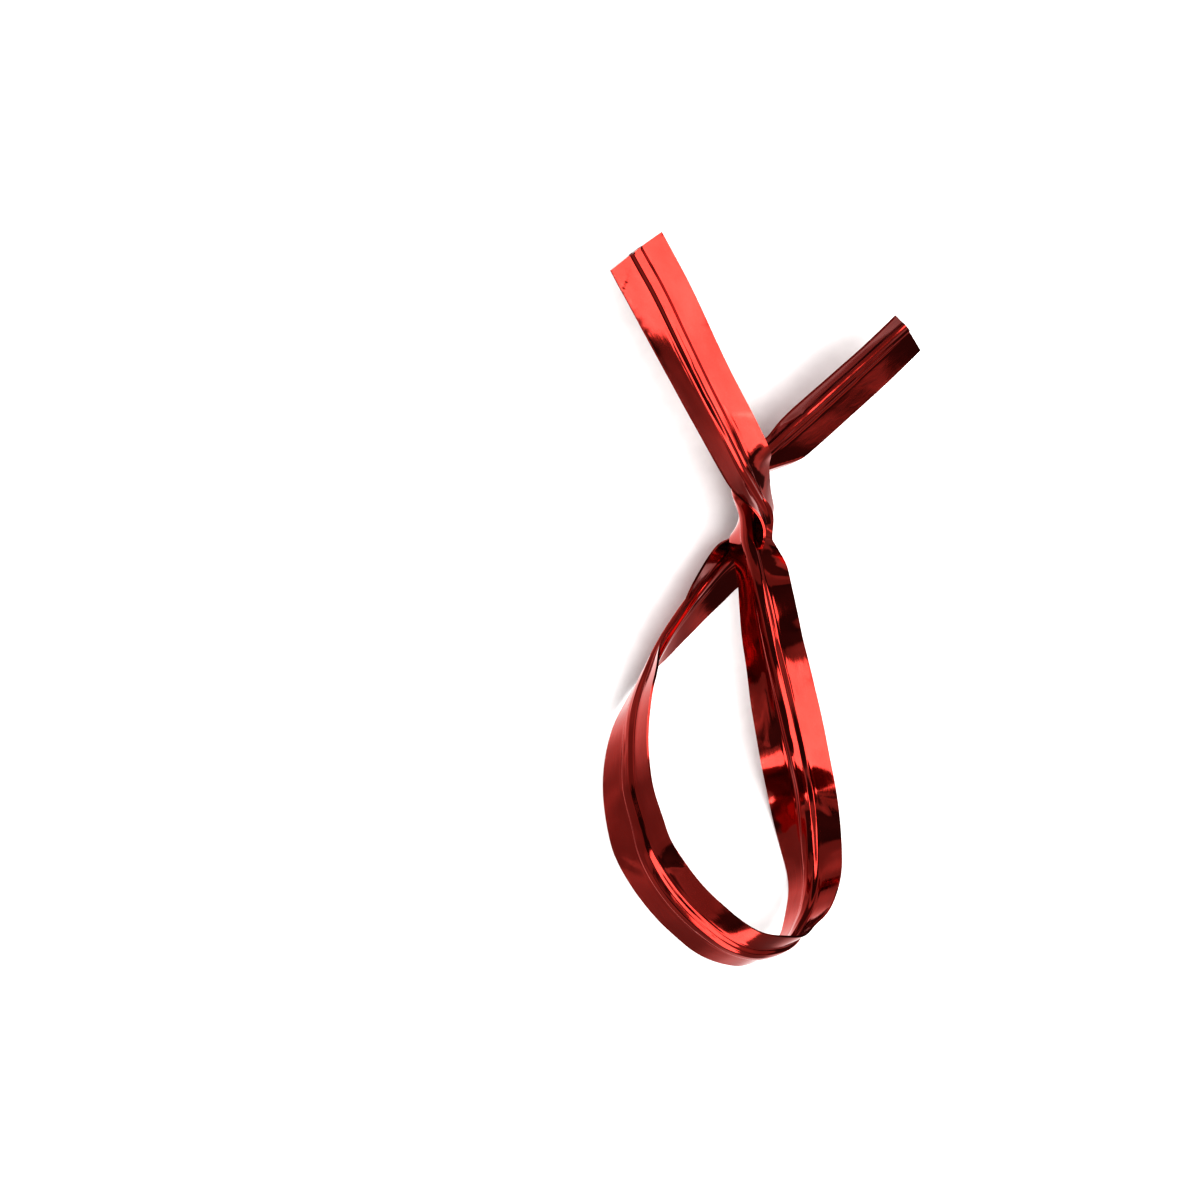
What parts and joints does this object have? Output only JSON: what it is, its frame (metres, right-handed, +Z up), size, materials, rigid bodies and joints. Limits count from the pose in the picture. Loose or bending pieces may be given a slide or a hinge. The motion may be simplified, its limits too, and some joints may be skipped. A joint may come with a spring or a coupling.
{
  "type": "metallic twist tie",
  "caption": "Metallic foil twist tie with a soft steel wire core, bent into a teardrop loop with its two tails twisted together and splayed.",
  "frame": {"origin": "centre of the overall box's bottom face, on the surface that the tie lies on", "axes": "+Z up; +Y from the loop to the tails, nearly along the twist; +X towards the right tail"},
  "size_m": [0.0208, 0.0442, 0.0066],
  "materials": {
    "front_film": "mirror-like red metallised film",
    "back_film": "mirror-like red metallised film",
    "core_wire": "bright drawn soft steel"
  },
  "bodies": {
    "loop": {"loop_front_film": "front_film", "loop_back_film": "back_film", "loop_wire": "core_wire", "twist_left_front_film": "front_film", "twist_left_back_film": "back_film", "twist_left_wire": "core_wire", "twist_right_front_film": "front_film", "twist_right_back_film": "back_film", "twist_right_wire": "core_wire"},
    "crown": {"crown_left_front_film": "front_film", "crown_left_back_film": "back_film", "crown_left_wire": "core_wire", "crown_right_front_film": "front_film", "crown_right_back_film": "back_film", "crown_right_wire": "core_wire", "left_bend_front_film": "front_film", "left_bend_back_film": "back_film", "left_bend_wire": "core_wire", "right_bend_front_film": "front_film", "right_bend_back_film": "back_film", "right_bend_wire": "core_wire"},
    "left_tail": {"left_tail_front_film": "front_film", "left_tail_back_film": "back_film", "left_tail_wire": "core_wire"},
    "right_tail": {"right_tail_front_film": "front_film", "right_tail_back_film": "back_film", "right_tail_wire": "core_wire"}
  },
  "joints": [
    {"name": "twist_turn", "type": "hinge", "parent": "loop", "child": "crown", "pos_m": [-0.00079, 0.00619, 0.00329], "axis": [0, 0.9998, -0.0193], "range_deg": [-180, 360], "deforming": ["twist_left_front_film", "twist_left_back_film", "twist_left_wire", "twist_right_front_film", "twist_right_back_film", "twist_right_wire"]},
    {"name": "left_tail_bend", "type": "hinge", "parent": "crown", "child": "left_tail", "pos_m": [-0.00302, 0.01063, 0.00482], "axis": [0.8533, 0.4916, -0.1737], "range_deg": [-60, 60], "deforming": ["left_bend_front_film", "left_bend_back_film", "left_bend_wire"]},
    {"name": "right_tail_bend", "type": "hinge", "parent": "crown", "child": "right_tail", "pos_m": [0.00234, 0.01076, 0.00285], "axis": [0.6097, -0.5389, -0.5812], "range_deg": [-60, 60], "deforming": ["right_bend_front_film", "right_bend_back_film", "right_bend_wire"]}
  ]
}
